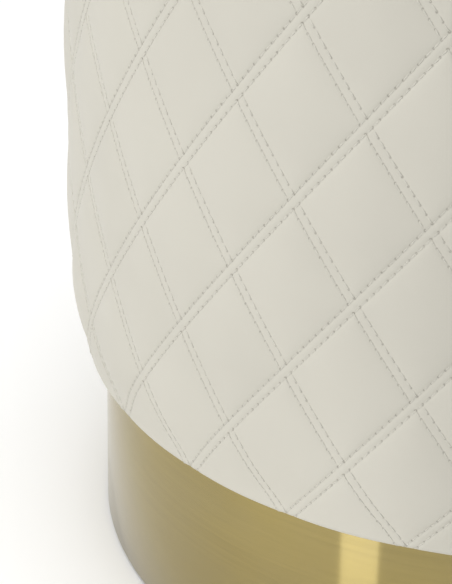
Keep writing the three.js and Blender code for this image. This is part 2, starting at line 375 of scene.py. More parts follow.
# Places of the points across half a diamond, from the middle of a twin seam. They stand close
# together beside the stitches, so that the furrows are real: the first as parts of half the
# gauge, the others in millimetres.
SEAM_POINTS = (0, 0.66, 1, 1.32)
FIELD_POINTS = (3.7, 6.5, 11, 16.5)
HOLE_SKEW = 1.5  # how far twin holes stand askew, in p for each metre across the seam
FALLING_DEPTH = 0.35  # the falling rows are sewn first and pull less deeply
CLOTH_FRAMES = 20
CLEAR_OF_RISING = 0.4 * MM  # falling stitches stop this near to the rising rows that cross them
THREAD_RISE = 0.32  # how far a thread's middle lies over the leather, in parts of its thickness


class Quilt:
    def __init__(self):
        quilt = bpy.context.scene.pouf_quilt
        self.count = quilt.diamonds
        self.w = TAU * DRUM_RADIUS / quilt.diamonds
        self.h = 2 * (PIPE_Z - RIM_Z) / quilt.rows
        self.edge = math.hypot(self.w, self.h) / 2
        self.across = self.w * self.h / (2 * self.edge)
        self.gauge = quilt.gauge
        self.stitches = quilt.stitches
        self.pitch = self.edge / quilt.stitches
        self.puff = quilt.puff
        self.groove = quilt.groove
        self.groove_width = quilt.groove_width
        self.thread = quilt.thread

    def p_and_q(self, s, t):
        return t / self.h + s / self.w, t / self.h - s / self.w

    def s_and_t(self, p, q):
        return (p - q) * self.w / 2, (p + q) * self.h / 2

    def off_rows(self, s, t):
        """Distance to the middle of the nearest rising twin seam and of the nearest falling one."""
        p, q = self.p_and_q(s, t)
        return self.across * np.abs(q - np.rint(q)), self.across * np.abs(p - np.rint(p))

    def furrow(self, s, t):
        """Depth of the furrows that the stitches pull into the leather."""
        rising, falling = (
            np.exp(-(((d - self.gauge / 2) / self.groove_width) ** 2)) for d in self.off_rows(s, t)
        )
        return self.groove * np.maximum(rising, FALLING_DEPTH * falling)

    def fullness(self, s, t):
        """Each diamond is filled a little differently; the table repeats around the drum."""
        p, q = self.p_and_q(s, t)
        p, q = np.floor(p + 1e-6).astype(int), np.floor(q + 1e-6).astype(int)
        rows, columns = 64, 2 * self.count
        table = np.random.default_rng(7).uniform(0.84, 1.14, (rows, columns))
        return table[(p + q) % rows, (p - q) % columns]


def quilted_diamond(quilt):
    """One diamond of the padded leather, blown up by cloth simulation between its twin seams.

    A patch of three by three diamonds is simulated, so that the middle one swells as it does in
    the whole cover, and the other eight are then cut away."""
    at_seam = np.array(SEAM_POINTS) * quilt.gauge / 2
    half = np.concatenate([at_seam, np.array(FIELD_POINTS) * MM]) / quilt.across
    steps = np.concatenate([half, [0.5], 1 - half[::-1]])
    parts = len(steps) - 1
    line = np.concatenate([steps[:-1] + k for k in (-1, 0, 1)] + [[2.0]])
    deselect_all()
    bpy.ops.mesh.primitive_grid_add(x_subdivisions=3 * parts, y_subdivisions=3 * parts, size=2)
    piece = bpy.context.object
    grid = np.rint((points_of(piece)[:, :2] + 1) / 2 * 3 * parts).astype(int)
    s, t = quilt.s_and_t(line[grid[:, 0]], line[grid[:, 1]])
    set_points(piece, np.column_stack([s, t, np.zeros(len(s))]))
    sewn = np.minimum(*quilt.off_rows(s, t)) < quilt.gauge / 2 + 0.1 * MM
    group = piece.vertex_groups.new(name="sewn")
    group.add(np.flatnonzero(sewn).tolist(), 1, "REPLACE")
    cloth = piece.modifiers.new("Filling", "CLOTH")
    cloth.settings.quality = 8
    cloth.settings.mass = 0.3
    cloth.settings.bending_stiffness = 0.6
    cloth.settings.use_pressure = True
    cloth.settings.uniform_pressure_force = 4
    cloth.settings.vertex_group_mass = "sewn"
    cloth.settings.effector_weights.gravity = 0
    cloth.point_cache.frame_start, cloth.point_cache.frame_end = 1, CLOTH_FRAMES
    for step in range(1, CLOTH_FRAMES + 1):
        bpy.context.scene.frame_set(step)
    apply_modifiers(piece)
    bpy.context.scene.frame_set(1)
    piece.vertex_groups.clear()
    # The pressure sets the shape of the swelling, and the quilt's own puff its height.
    swollen = points_of(piece)
    swollen[:, :2] = np.column_stack([s, t])
    swollen[:, 2] *= quilt.puff / swollen[:, 2].max()
    set_points(piece, swollen)
    centres = face_centres(piece)
    p, q = quilt.p_and_q(centres[:, 0], centres[:, 1])
    inside = (p > 0) & (p < 1) & (q > 0) & (q < 1)
    remove(piece, ~inside, "polygons")
    return piece


def shifted(piece, s, t):
    set_points(piece, points_of(piece) + (s, t, 0))


def cut_straight(piece, place, normal, drop=False):
    """Cuts the flat goods along a line; drop takes away what lies on the normal's side."""
    edit_all(piece)
    bpy.ops.mesh.bisect(plane_co=place, plane_no=normal, clear_outer=drop, threshold=0.001 * MM)
    leave_edit()


def mark_pattern(piece, quilt, on_pattern=lambda t: t):
    """Keeps the pattern's place of each point in a UV map, which the leather's finish reads."""
    mesh = piece.data
    s, t, _ = points_of(piece)[read(mesh.loops, "vertex_index", kind=int)].T
    flat = np.column_stack([s / quilt.w, on_pattern(t) / quilt.h])
    layer = mesh.uv_layers.get("quilt") or mesh.uv_layers.new(name="quilt")
    layer.data.foreach_set("uv", flat.ravel())
    for other in [u.name for u in mesh.uv_layers if u.name != "quilt"]:
        mesh.uv_layers.remove(mesh.uv_layers[other])


def stitch(quilt, angle):
    """One stitch: a short arched thread with its ends in the needle holes, along the angle."""
    deselect_all()
    bpy.ops.mesh.primitive_uv_sphere_add(segments=5, ring_count=4, radius=1)
    piece = bpy.context.object
    ball = points_of(piece)
    reach = quilt.pitch / 2 - 0.25 * MM
    along = np.sign(ball[:, 2]) * np.abs(ball[:, 2]) ** 0.6 * reach
    round_ = quilt.thread / 2
    lying = np.column_stack([along, ball[:, 0] * round_ * 1.1, ball[:, 1] * round_])
    lying[:, 2] -= 0.35 * MM * (np.abs(along) / reach) ** 3
    turn = np.array([[math.cos(angle), math.sin(angle)], [-math.sin(angle), math.cos(angle)]])
    lying[:, :2] = lying[:, :2] @ turn
    set_points(piece, lying)
    face_outwards(piece)
    return piece


def stitch_rows(quilt, rising, first, along, rows):
    """Stitches of all the twin seams of one direction, laid flat.

    Each starts at half a stitch after the crossing number first. Returns the piece, the middles
    of its stitches and the number of points in each."""
    side = 1 if rising else -1
    run = Vector((side * quilt.w / 2, quilt.h / 2)) / quilt.stitches
    cross = Vector((run.y, -run.x)).normalized() * quilt.gauge * side
    angle = math.atan2(run.y, run.x)
    piece = stitch(quilt, angle)
    each = len(piece.data.vertices)
    start = run * quilt.stitches * first
    # The two rows of a twin seam stand almost side by side, askew by the hole skew.
    askew = run * quilt.stitches * HOLE_SKEW * quilt.gauge
    shifted(piece, start.x - cross.x / 2 - askew.x / 2, start.y - cross.y / 2 - askew.y / 2)
    copies(piece, along * quilt.stitches, (run.x, run.y, 0))
    copies(piece, 2, (cross.x + askew.x, cross.y + askew.y, 0))
    copies(piece, rows, (quilt.w, 0, 0))
    middles = points_of(piece).reshape(-1, each, 3).mean(1)
    return piece, middles, each


def loosen_stitches(piece, middles, each, seed):
    """A little play in each stitch's angle and length, as a machine's thread has."""
    random = np.random.default_rng(seed)
    turn, pull = random.normal(0, 0.035, len(middles)), random.normal(1, 0.03, len(middles))
    points = points_of(piece).reshape(-1, each, 3)
    arm = (points - middles[:, None]) * pull[:, None, None]
    c, s = np.cos(turn)[:, None], np.sin(turn)[:, None]
    points[..., 0] = middles[:, None, 0] + arm[..., 0] * c - arm[..., 1] * s
    points[..., 1] = middles[:, None, 1] + arm[..., 0] * s + arm[..., 1] * c
    set_points(piece, points.reshape(-1, 3))


# ---- The drum's side ----

PIPE_PULL = 12 * MM  # height below the piping over which the side is drawn in
CLOSING_DEPTH, CLOSING_WIDTH = 0.8 * MM, 0.9 * MM  # the cover's closing seam at the back
# Level rows of points, in millimetres up from the rim and down from the piping, let the leather
# turn smoothly there.
RIM_LEVELS = (-5.5, -3, -2, -1, 0, 1, 2, 3, 5, 7.5, 11, 15)
PIPE_LEVELS = (14, 9, 6, 4, 2)
# Heights of the plain lining's rings, in millimetres over the floor, closer towards the rim.
LINING_LEVELS = (
    430, 424, 404, 350, 290, 230, 190, 170, 155, 145, 137, 130, 124, 119, 114, 110, 107,
)


class Drum:
    """The side's profile, from the leather turned in under the drum up to the piping."""

    def __init__(self):
        sizes, quilt = shape(), bpy.context.scene.pouf_quilt
        self.corner, self.drift, self.stretch = sizes.corner, quilt.drift, quilt.stretch
        self.full = DRUM_RADIUS - quilt.sewn_in
        # Heights on the pattern, and how far up the side the pulled leather carries them.
        self.pattern = np.linspace(-0.2, 0.6, 1601)
        sag = quilt.sag * np.exp(-np.maximum(self.pattern, 0) / quilt.sag_height)
        self.pulled = self.pattern + quilt.lift - sag
        heights = np.concatenate([
            np.linspace(self.corner, 60 * MM, 80),
            np.linspace(61 * MM, SIDE_TOP - RIM_Z, 120),
        ])
        wall = np.column_stack([self.radius(heights, sizes), heights])
        turn = np.linspace(0, math.pi / 2, 13)[:-1]
        middle_r = wall[0, 0] - self.corner
        corner = np.column_stack([
            middle_r + self.corner * np.sin(turn), self.corner * (1 - np.cos(turn)),
        ])
        inner = middle_r - sizes.turned_in + self.corner
        under = np.column_stack([np.linspace(inner, middle_r, 20)[:-1], np.zeros(19)])
        line = np.concatenate([under, corner, wall])
        run = run_along(line)
        # t is zero where the wall would meet the floor of the drum without its rounded corner.
        self.t = run - run[len(under) + len(corner)] + self.corner
        self.r, self.z = line[:, 0], line[:, 1] + RIM_Z
        tangent = directions(line, self.t)
        self.out = np.column_stack([tangent[:, 1], -tangent[:, 0]])

    def radius(self, height, sizes):
        rim = sizes.tuck / (1 + (height / sizes.tuck_height) ** 2.4)
        below_pipe = np.clip(1 - (SIDE_TOP - RIM_Z - height) / PIPE_PULL, 0, 1)
        return self.full - rim - sizes.top_tuck * below_pipe**2

    def up_side(self, pattern_t):
        return np.interp(pattern_t, self.pattern, self.pulled)

    def on_pattern(self, t):
        return np.interp(t, self.pulled, self.pattern)

    def place(self, s, t, height):
        """Points on the drum for flat places, raised by height off the leather's mean surface."""
        r = np.interp(t, self.t, self.r) + height * np.interp(t, self.t, self.out[:, 0])
        z = np.interp(t, self.t, self.z) + height * np.interp(t, self.t, self.out[:, 1])
        pull = self.drift + self.stretch * np.sin(s / DRUM_RADIUS)
        return around(r, FRONT + (s + pull) / DRUM_RADIUS, z)

    def rest(self, quilt, s, t):
        """Depth of the furrows and of the closing seam at the back, where they are not ironed."""
        off_seam = np.abs(s % (TAU * DRUM_RADIUS) - math.pi * DRUM_RADIUS)
        seam = CLOSING_DEPTH * np.exp(-((off_seam / CLOSING_WIDTH) ** 2))
        return np.maximum(quilt.furrow(s, self.on_pattern(t)), seam)

    def fade(self, t):
        """The padding is pressed flat under the drum, and thinner at the rim and the piping."""
        top = self.t[-1]
        return smoothstep(t, -12 * MM, 48 * MM) * (1 - smoothstep(t, top - 9 * MM, top - 1 * MM))


def make_side_cover():
    quilt, drum = Quilt(), Drum()
    piece = quilted_diamond(quilt)
    low_row, rows = -3, 12
    shifted(piece, low_row * quilt.w / 2, low_row * quilt.h / 2)
    copies(piece, quilt.count, (quilt.w, 0, 0), merge=True)
    copies(piece, rows, (quilt.w / 2, quilt.h / 2, 0), merge=True)
    s, t, swell = points_of(piece).T
    set_points(piece, np.column_stack([s, drum.up_side(t), swell]))
    cut_straight(piece, (0, drum.t[0], 0), (0, -1, 0), drop=True)
    cut_straight(piece, (0, drum.t[-1], 0), (0, 1, 0), drop=True)
    for off in (-1.5, 0, 1.5):
        cut_straight(piece, (math.pi * DRUM_RADIUS + off * MM, 0, 0), (1, 0, 0))
    for level in RIM_LEVELS:
        cut_straight(piece, (0, level * MM, 0), (0, 1, 0))
    for level in PIPE_LEVELS:
        cut_straight(piece, (0, drum.t[-1] - level * MM, 0), (0, 1, 0))
    mark_pattern(piece, quilt, drum.on_pattern)
    s, t, swell = points_of(piece).T
    swell = swell * quilt.fullness(s, drum.on_pattern(t)) * drum.fade(t)
    set_points(piece, drum.place(s, t, swell - drum.rest(quilt, s, t)))
    close_doubles(piece)
    line_side(piece, drum)
    face_outwards(piece)
    smooth(piece, 60)
    finished(piece, "side_leather", quilted_leather(), ["side_cover"])


def line_side(piece, drum):
    """Gives the quilted goods their thickness with a plain lining, closed at both edges."""
    sizes = shape()
    ends = points_of(piece)[read(piece.data.edges, "vertices", 2, int)]
    upper = open_edges(piece) & (ends[:, :, 2].min(1) > (RIM_Z + SIDE_TOP) / 2)
    edit_selected(piece, upper, "edges")
    steps = [(drum.r[-1] - sizes.cover, SIDE_TOP)]
    for level in LINING_LEVELS:
        inside = float(drum.radius(level * MM - RIM_Z, sizes)) - sizes.cover
        steps.append((inside, level * MM))
    rim = steps[-1][0]
    steps += [(rim - 0.8 * MM, RIM_Z + sizes.cover), (drum.r[0] + 12 * MM, RIM_Z + sizes.cover)]
    steps += [(drum.r[0], RIM_Z + sizes.cover * 0.8)]
    draw_rings(drum.r[-1], SIDE_TOP, steps)
    leave_edit()
    edit_selected(piece, open_edges(piece), "edges")
    bpy.ops.mesh.bridge_edge_loops()
    leave_edit()


def make_side_stitches():
    quilt, drum = Quilt(), Drum()
    first, along = -2, 12
    for rising in (True, False):
        piece, middles, each = stitch_rows(quilt, rising, first, along, quilt.count)
        s, t = middles[:, 0], drum.up_side(middles[:, 1])
        gone = (t < -13 * MM) | (t > drum.t[-1] - 2 * MM)
        if not rising:
            off_rising = quilt.off_rows(s, middles[:, 1])[0]
            gone |= off_rising < quilt.gauge / 2 - CLEAR_OF_RISING
        remove(piece, np.repeat(gone, each), "vertices")
        middles = middles[~gone]
        loosen_stitches(piece, middles, each, 11 + rising)
        s, t, height = points_of(piece).T
        depth = np.repeat(drum.rest(quilt, middles[:, 0], drum.up_side(middles[:, 1])), each)
        rise = height - depth + quilt.thread * THREAD_RISE
        set_points(piece, drum.place(s, drum.up_side(t), rise))
        face_outwards(piece)
        smooth(piece, 80)
        name = "side_stitches_rising" if rising else "side_stitches_falling"
        finished(piece, name, sewing_thread())


# ---- The seat ----


class Crown:
    """The seat's profile: a gently crowned middle and a rounded edge down to the piping."""

    def __init__(self):
        sizes = shape()
        self.rim = SEAT_HIGH.x - 0.2 * MM
        self.base = SEAT_HIGH.z - sizes.shoulder_height - sizes.crown
        edge = self.rim - sizes.shoulder_width
        turn = np.linspace(0, math.pi / 2, 60)
        shoulder = edge + sizes.shoulder_width * np.sin(turn)
        r = np.concatenate([np.linspace(0, edge, 80)[:-1], shoulder])
        rise = np.concatenate([
            np.full(79, sizes.shoulder_height), sizes.shoulder_height * np.cos(turn),
        ])
        z = self.base + rise + sizes.crown * (1 - (r / self.rim) ** 2)
        line = np.column_stack([r, z])
        self.run = run_along(line)
        self.r, self.z = r, z - 0.8 * MM * (1 - smoothstep(r, edge, self.rim))
        tangent = directions(line, self.run)
        self.out = np.column_stack([-tangent[:, 1], tangent[:, 0]])
        self.flat = self.run[-1]

    def place(self, s, t, height):
        reach = np.minimum(np.hypot(s, t), self.flat)
        r = np.interp(reach, self.run, self.r) + height * np.interp(reach, self.run, self.out[:, 0])
        z = np.interp(reach, self.run, self.z) + height * np.interp(reach, self.run, self.out[:, 1])
        return around(r, np.arctan2(t, s), z)

    def fade(self, s, t):
        return 1 - smoothstep(np.hypot(s, t), self.flat - 12 * MM, self.flat - 1 * MM)


def make_seat_cover():
    quilt, crown = Quilt(), Crown()
    piece = quilted_diamond(quilt)
    columns, rows = 9, 7
    shifted(piece, -(columns - 1) / 2 * quilt.w, -(rows - 1) / 2 * quilt.h)
    copies(piece, columns, (quilt.w, 0, 0), merge=True)
    copies(piece, rows, (0, quilt.h, 0), merge=True)
    copies(piece, 2, (quilt.w / 2, -quilt.h / 2, 0), merge=True)
    mark_pattern(piece, quilt)
    # The middle of a diamond comes to the middle of the seat.
    shifted(piece, 0, -quilt.h / 2)
    flat = points_of(piece)
    outside = np.hypot(flat[:, 0], flat[:, 1]) > crown.flat
    corners = read(piece.data.loops, "vertex_index", kind=int)
    starts = read(piece.data.polygons, "loop_start", kind=int)
    remove(piece, np.logical_and.reduceat(outside[corners], starts), "polygons")
    s, t, swell = points_of(piece).T
    lattice_t = t + quilt.h / 2
    swell = swell * quilt.fullness(s, lattice_t) * crown.fade(s, t)
    set_points(piece, crown.place(s, t, swell - quilt.furrow(s, lattice_t) * crown.fade(s, t)))
    line_seat(piece, crown)
    face_outwards(piece)
    smooth(piece, 60)
    finished(piece, "seat_leather", quilted_leather(), ["top_cover"])


def line_seat(piece, crown):
    """The seat's quilted goods get a plain lining below, closed at the rim."""
    sizes = shape()
    edit_selected(piece, open_edges(piece), "edges")
    radius, height = crown.rim, float(crown.z[-1])
    steps = [(radius - 0.1 * MM, height - 0.4 * MM), (radius - sizes.cover, height)]
    for reach in (0.985, 0.96, 0.93, 0.89, 0.8, 0.6, 0.4, 0.2, 0.06):
        z = float(np.interp(reach * crown.flat, crown.run, crown.z)) - sizes.cover
        r = float(np.interp(reach * crown.flat, crown.run, crown.r))
        steps.append((min(r, radius - sizes.cover - 0.1 * MM), max(z, height)))
    draw_rings(radius, height, steps)
    bpy.ops.mesh.merge(type="CENTER")
    leave_edit()


def make_seat_stitches():
    quilt, crown = Quilt(), Crown()
    reach, rows = 7, 19
    for rising in (True, False):
        piece, middles, each = stitch_rows(quilt, rising, -reach, 2 * reach, rows)
        across = -(rows // 2) * quilt.w
        shifted(piece, across, 0)
        middles = middles + (across, 0, 0)
        s, t = middles[:, 0], middles[:, 1]
        gone = np.hypot(s, t - quilt.h / 2) > crown.flat - 3.5 * MM
        if not rising:
            gone |= quilt.off_rows(s, t)[0] < quilt.gauge / 2 - CLEAR_OF_RISING
        remove(piece, np.repeat(gone, each), "vertices")
        middles = middles[~gone]
        loosen_stitches(piece, middles, each, 22 if rising else 20)
        s, t, height = points_of(piece).T
        depth = np.repeat(quilt.furrow(middles[:, 0], middles[:, 1]), each)
        rise = height - depth + quilt.thread * THREAD_RISE
        set_points(piece, crown.place(s, t - quilt.h / 2, rise))
        face_outwards(piece)
        smooth(piece, 80)
        name = "seat_stitches_rising" if rising else "seat_stitches_falling"
        finished(piece, name, sewing_thread())


def make_piping():
    """A cord wrapped in leather, slightly puckered, with its ends joined at the back."""
    deselect_all()
    bpy.ops.mesh.primitive_torus_add(
        location=(0, 0, PIPE_Z), major_segments=480, minor_segments=18,
        major_radius=PIPE_CIRCLE, minor_radius=PIPE_RADIUS - 0.15 * MM,
    )
    piece = settle(bpy.context.object)
    points = points_of(piece)
    angle = np.arctan2(points[:, 1], points[:, 0])
    out = np.hypot(points[:, 0], points[:, 1]) - PIPE_CIRCLE
    up = points[:, 2] - PIPE_Z
    from_joint = (angle - BACK + math.pi) % TAU - math.pi
    along = from_joint * PIPE_CIRCLE + 0.5 * up
    joint = 0.16 * np.exp(-((along / (0.9 * MM)) ** 2))
    pucker = 0.018 * np.sin(angle * 143 + 3 * np.sin(angle * 7)) + 0.012 * np.sin(angle * 61)
    swell = 1 + pucker - joint
    set_points(piece, around(PIPE_CIRCLE + out * swell, angle, PIPE_Z + up * swell))
    smooth(piece, 180)
    finished(piece, "piping_leather", plain_leather(), ["piping"])


# ---- The plinth ----

STAPLES = 30
CLOTH_RINGS = 46


def make_band():
    """A strip of sheet metal with eased edges, bent round with a butt seam at the back."""
    sizes = shape()
    inner = BAND_RADIUS - sizes.sheet_metal
    low, high = BAND_LOW.z, BAND_HIGH.z
    half_gap = sizes.band_seam / 2 / BAND_RADIUS
    profile = [
        (inner, low), (BAND_RADIUS, low), (BAND_RADIUS, (low + high) / 2), (BAND_RADIUS, high),
        (inner, high), (inner, (low + high) / 2), (inner, low),
    ]
    piece = lathe(profile, 360, start=BACK + half_gap, angle=TAU - 2 * half_gap)
    edit_selected(piece, open_edges(piece), "edges")
    bpy.ops.mesh.edge_face_add()
    leave_edit()
    face_outwards(piece)
    ease(piece, 0.25 * MM, 2, 60)
    smooth(piece, 35)
    finished(piece, "plinth_band", brushed_brass(), ["base_band"])


def recess_cross(width, reach, depth, place, axis):
    """A cross-shaped cutter for a screw head: two crossed bars whose ends taper to the bottom."""
    deselect_all()
    cutter = None
    for turn in (0, 1):
        size = (width, reach) if turn else (reach, width)
        bpy.ops.mesh.primitive_cube_add(size=2)
        bar = bpy.context.object
        points = points_of(bar)
        taper = np.where(points[:, 2] < 0, 0.62, 1.0)
        points[:, 0] *= size[0] * np.where(size[0] > size[1], taper, 1)
        points[:, 1] *= size[1] * np.where(size[1] > size[0], taper, 1)
        points[:, 2] *= depth
        set_points(bar, points)
        if cutter is None:
            cutter = bar
        else:
            union = cutter.modifiers.new("Union", "BOOLEAN")
            union.operation, union.solver, union.object = "UNION", "EXACT", bar
            apply_modifiers(cutter)
            bpy.data.objects.remove(bar)
    aimed = Vector((0, 0, 1)).rotation_difference(Vector(axis)).to_matrix().to_4x4()
    cutter.matrix_world = Matrix.Translation(place) @ aimed
    return settle(cutter)


def cut_out(piece, cutter):
    cut = piece.modifiers.new("Recess", "BOOLEAN")
    cut.operation, cut.solver, cut.object = "DIFFERENCE", "EXACT", cutter
    apply_modifiers(piece)
    bpy.data.objects.remove(cutter)


def make_band_screws():
    """Round-headed screws beside the band's seam, each with a cross recess."""
    for i in range(1, 5):
        node = f"band_screw_{i}"
        low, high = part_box(node)
        head = (high.x - low.x) / 2
        x, z = (low.x + high.x) / 2, (low.z + high.z) / 2
        rise = 1.5 * MM
        face = high.y
        shank = face - low.y
        dome = [
            (head * math.sin(a), -rise * 0.9 * (1 - math.cos(a)) / (1 - math.cos(1.25)))
            for a in np.linspace(0, 1.25, 8)
        ]
        widest = dome[-1][0]
        profile = [(r * head / widest, z0) for r, z0 in dome] + [
            (head, -rise), (head * 0.48, -rise), (head * 0.48, -shank + 2 * MM), (0, -shank),
        ]
        piece = lathe(profile, 32)
        lay_back = Matrix.Translation((x, face, z)) @ Matrix.Rotation(-BACK, 4, "X")
        piece.matrix_world = lay_back
        settle(piece)
        face_outwards(piece)
        cut_out(piece, recess_cross(0.42 * MM, 1.7 * MM, 0.8 * MM, (x, face, z), (0, 1, 0)))
        ease(piece, 0.08 * MM, 1, 50)
        smooth(piece, 35)
        finished(piece, f"plinth_screw_{i}", turned_brass(), [node])


def put_in_place(model, node, name, material):
    """Copies a model that stands on the origin to each of the six places of its node."""
    for i in range(1, 7):
        low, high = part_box(f"{node}_{i}")
        middle = (low + high) / 2
        piece = copied(model, f"{name}_{i}")
        set_points(piece, points_of(model) + (middle.x, middle.y, low.z))
        finished(piece, f"{name}_{i}", material, [f"{node}_{i}"])
    bpy.data.objects.remove(model)


def make_glides():
    """Plastic glides with a rounded tread and a pocket for the screw that holds them."""
    low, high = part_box("glide_1")
    radius, height = (high.x - low.x) / 2, high.z - low.z
    pocket, bore, floor = 4.8 * MM, 2.3 * MM, 3.2 * MM
    profile = [
        (bore, floor), (pocket, floor), (pocket, 0.5 * MM), (pocket + 0.5 * MM, 0),
        (radius - 2.2 * MM, 0), (radius, 2.2 * MM), (radius, height - 0.7 * MM),
        (radius - 0.7 * MM, height), (bore, height), (bore, floor),
    ]
    model = lathe(profile, 64)
    ease(model, 0.35 * MM, 2, 25)
    smooth(model, 35)
    put_in_place(model, "glide", "foot", moulded_plastic())


def make_glide_screws():
    """Pan-headed screws that hold the glides, seen in their pockets from below."""
    low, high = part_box("glide_screw_1")
    head = (high.x - low.x) / 2
    tip = high.z - low.z
    rise = 1.7 * MM
    profile = [
        (0, 0), (head * 0.55, 0.08 * MM), (head * 0.85, 0.45 * MM), (head, 1.0 * MM),
        (head, rise), (2 * MM, rise), (2 * MM, tip - 2.5 * MM), (0, tip),
    ]
    model = lathe(profile, 32)
    cut_out(model, recess_cross(0.45 * MM, 2.1 * MM, 0.9 * MM, (0, 0, 0), (0, 0, -1)))
    smooth(model, 35)
    put_in_place(model, "glide_screw", "foot_screw", zinc_steel())


def make_dust_cover():
    """Black non-woven cloth stapled under the plinth, drawn slightly between its staples."""
    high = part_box("base_dust_cover")[1]
    radius = high.x
    deselect_all()
    bpy.ops.mesh.primitive_circle_add(
        vertices=192, radius=radius, fill_type="NOTHING", location=(0, 0, high.z)
    )
    piece = settle(bpy.context.object)
    edit_all(piece)
    rings = [(radius * (1 - k / CLOTH_RINGS), high.z) for k in range(1, CLOTH_RINGS)]
    draw_rings(radius, high.z, rings)
    bpy.ops.mesh.extrude_edges_move(TRANSFORM_OT_translate={"value": (0, 0, 0)})
    bpy.ops.mesh.merge(type="CENTER")
    leave_edit()
    points = points_of(piece)
    far = np.hypot(points[:, 0], points[:, 1])
    angle = np.arctan2(points[:, 1], points[:, 0])
    # Slack between the staples at the edge, and a few broad soft hollows in the middle.
    slack = 0.16 * MM * (1 + np.cos(STAPLES * angle)) / 2 * smoothstep(far, 0.8 * radius, radius)
    broad = 0.1 * MM * (1 + np.sin(points[:, 0] * 41 + 1) * np.sin(points[:, 1] * 37))
    points[:, 2] -= slack + broad * (1 - smoothstep(far, 0.7 * radius, 0.9 * radius))
    set_points(piece, points)
    thick = piece.modifiers.new("Cloth", "SOLIDIFY")
    thick.thickness, thick.offset = 0.25 * MM, 1
    face_outwards(piece)
    apply_modifiers(piece)
    face_outwards(piece)
    smooth(piece, 50)
    finished(piece, "dust_cover", non_woven(), ["base_dust_cover"])


def make_staples():
    """Wire staples around the edge of the dust cover, all in one piece."""
    low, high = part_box("base_dust_cover")
    circle = high.x - 6 * MM
    deselect_all()
    bpy.ops.mesh.primitive_cube_add(size=1)
    piece = bpy.context.object
    wire, crown, leg = 0.55 * MM, 10 * MM, 4 * MM
    set_points(piece, points_of(piece) * (wire, crown, wire))
    for end in (-1, 1):
        centres = face_centres(piece)
        edit_selected(piece, centres[:, 1] * end > crown / 2 - WELD, "polygons")
        bpy.ops.mesh.extrude_region_move(TRANSFORM_OT_translate={"value": (0, end * wire, 0)})
        leave_edit()
        centres = face_centres(piece)
        tall = (centres[:, 2] > wire / 2 - WELD) & (centres[:, 1] * end > crown / 2)
        edit_selected(piece, tall, "polygons")
        bpy.ops.mesh.extrude_region_move(TRANSFORM_OT_translate={"value": (0, 0, leg)})
        leave_edit()
    ease(piece, 0.14 * MM, 1, 60)
    model = points_of(piece)
    model[:, 0] += circle
    model[:, 2] += low.z + 0.05 * MM
    set_points(piece, model)
    copies(piece, STAPLES, (0, 0, 0))
    each = len(model)
    points = points_of(piece).reshape(STAPLES, each, 3)
    random = np.random.default_rng(5)
    for k in range(STAPLES):
        a = (k + 0.5) * TAU / STAPLES + random.normal(0, 0.006)
        lean = random.normal(0, 0.09)
        x, y = turned(points[k, :, 0] - circle, points[k, :, 1], lean)
        points[k, :, 0], points[k, :, 1] = turned(x + circle, y, a)
    set_points(piece, points.reshape(-1, 3))
    face_outwards(piece)
    smooth(piece, 35)
    finished(piece, "dust_cover_staples", zinc_steel())


# ---- The padding inside ----


def make_side_foam():
    """A sleeve of foam round the drum, pressed thinner at the rim by the tight cover."""
    sizes, drum = shape(), Drum()
    low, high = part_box("side_foam")
    inner = high.x - 12 * MM
    profile = [(inner, low.z)]
    near_rim = np.linspace(low.z, low.z + 60 * MM, 16)
    for z in np.concatenate([near_rim, np.linspace(low.z + 80 * MM, high.z, 8)]):
        outer = float(drum.radius(z - RIM_Z, sizes)) - sizes.cover - 0.4 * MM
        profile.append((min(outer, high.x), float(z)))
    profile += [(inner, high.z), (inner, low.z)]
    piece = lathe(profile, 128)
    ease(piece, 1.0 * MM, 2, 50)
    smooth(piece, 40)
    finished(piece, "foam_sleeve", upholstery_foam(), ["side_foam"])


def make_seat_foam():
    """The seat's block of foam, its upper edge drawn down softly by the cover."""
    low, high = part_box("seat_foam")
    edge = 8 * MM
    turn = np.linspace(math.pi / 2, 0, 9)
    shoulder = [
        (high.x - edge + edge * math.cos(a), high.z - edge + edge * math.sin(a)) for a in turn
    ]
    piece = lathe([(0, high.z), *shoulder, (high.x, low.z), (0, low.z)], 128)
    smooth(piece, 50)
    finished(piece, "seat_block", upholstery_foam(), ["seat_foam"])


def make_seat_wadding():
    """Soft wadding over the seat block, thinned at the shoulder, with a skirt down its side."""
    sizes, crown = shape(), Crown()
    low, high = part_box("seat_wadding")
    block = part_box("seat_foam")[1]
    slack, edge = 0.2 * MM, 8 * MM
    skirt = high.x - 1.4 * MM
    over = []
    for r in np.concatenate([np.linspace(0, 150 * MM, 8), np.linspace(156 * MM, skirt, 16)]):
        under_cover = float(np.interp(r, crown.r, crown.z)) - sizes.cover - 1.0 * MM
        over.append((float(r), min(high.z, under_cover)))
    inner = block.x + slack
    turn = np.linspace(0, math.pi / 2, 9)
    under = [
        (inner - edge + edge * math.cos(a), block.z + slack - edge + edge * math.sin(a))
        for a in turn
    ]
    profile = [*over, (skirt, low.z), (inner, low.z), *under, (0, block.z + slack)]
    piece = lathe(profile, 128)
    points = points_of(piece)
    far, angle = np.hypot(points[:, 0], points[:, 1]), np.arctan2(points[:, 1], points[:, 0])
    # Loose fibres leave the top a little uneven.
    loose = (np.sin(9 * angle + 70 * far) + np.sin(23 * angle - 180 * far)) * 0.12 * MM
    points[:, 2] -= np.where(points[:, 2] > block.z + 1 * MM, np.abs(loose) * (far > 20 * MM), 0)
    set_points(piece, points)
    smooth(piece, 50)
    finished(piece, "seat_padding", polyester_wadding(), ["seat_wadding"])


# ---- Finishes ----


BLACK = (0, 0, 0)
# The needle holes are painted dark: painted shade inside holes that the mesh does not cut.
NEEDLE_HOLE_SHADE = (0.17, 0.15, 0.115)


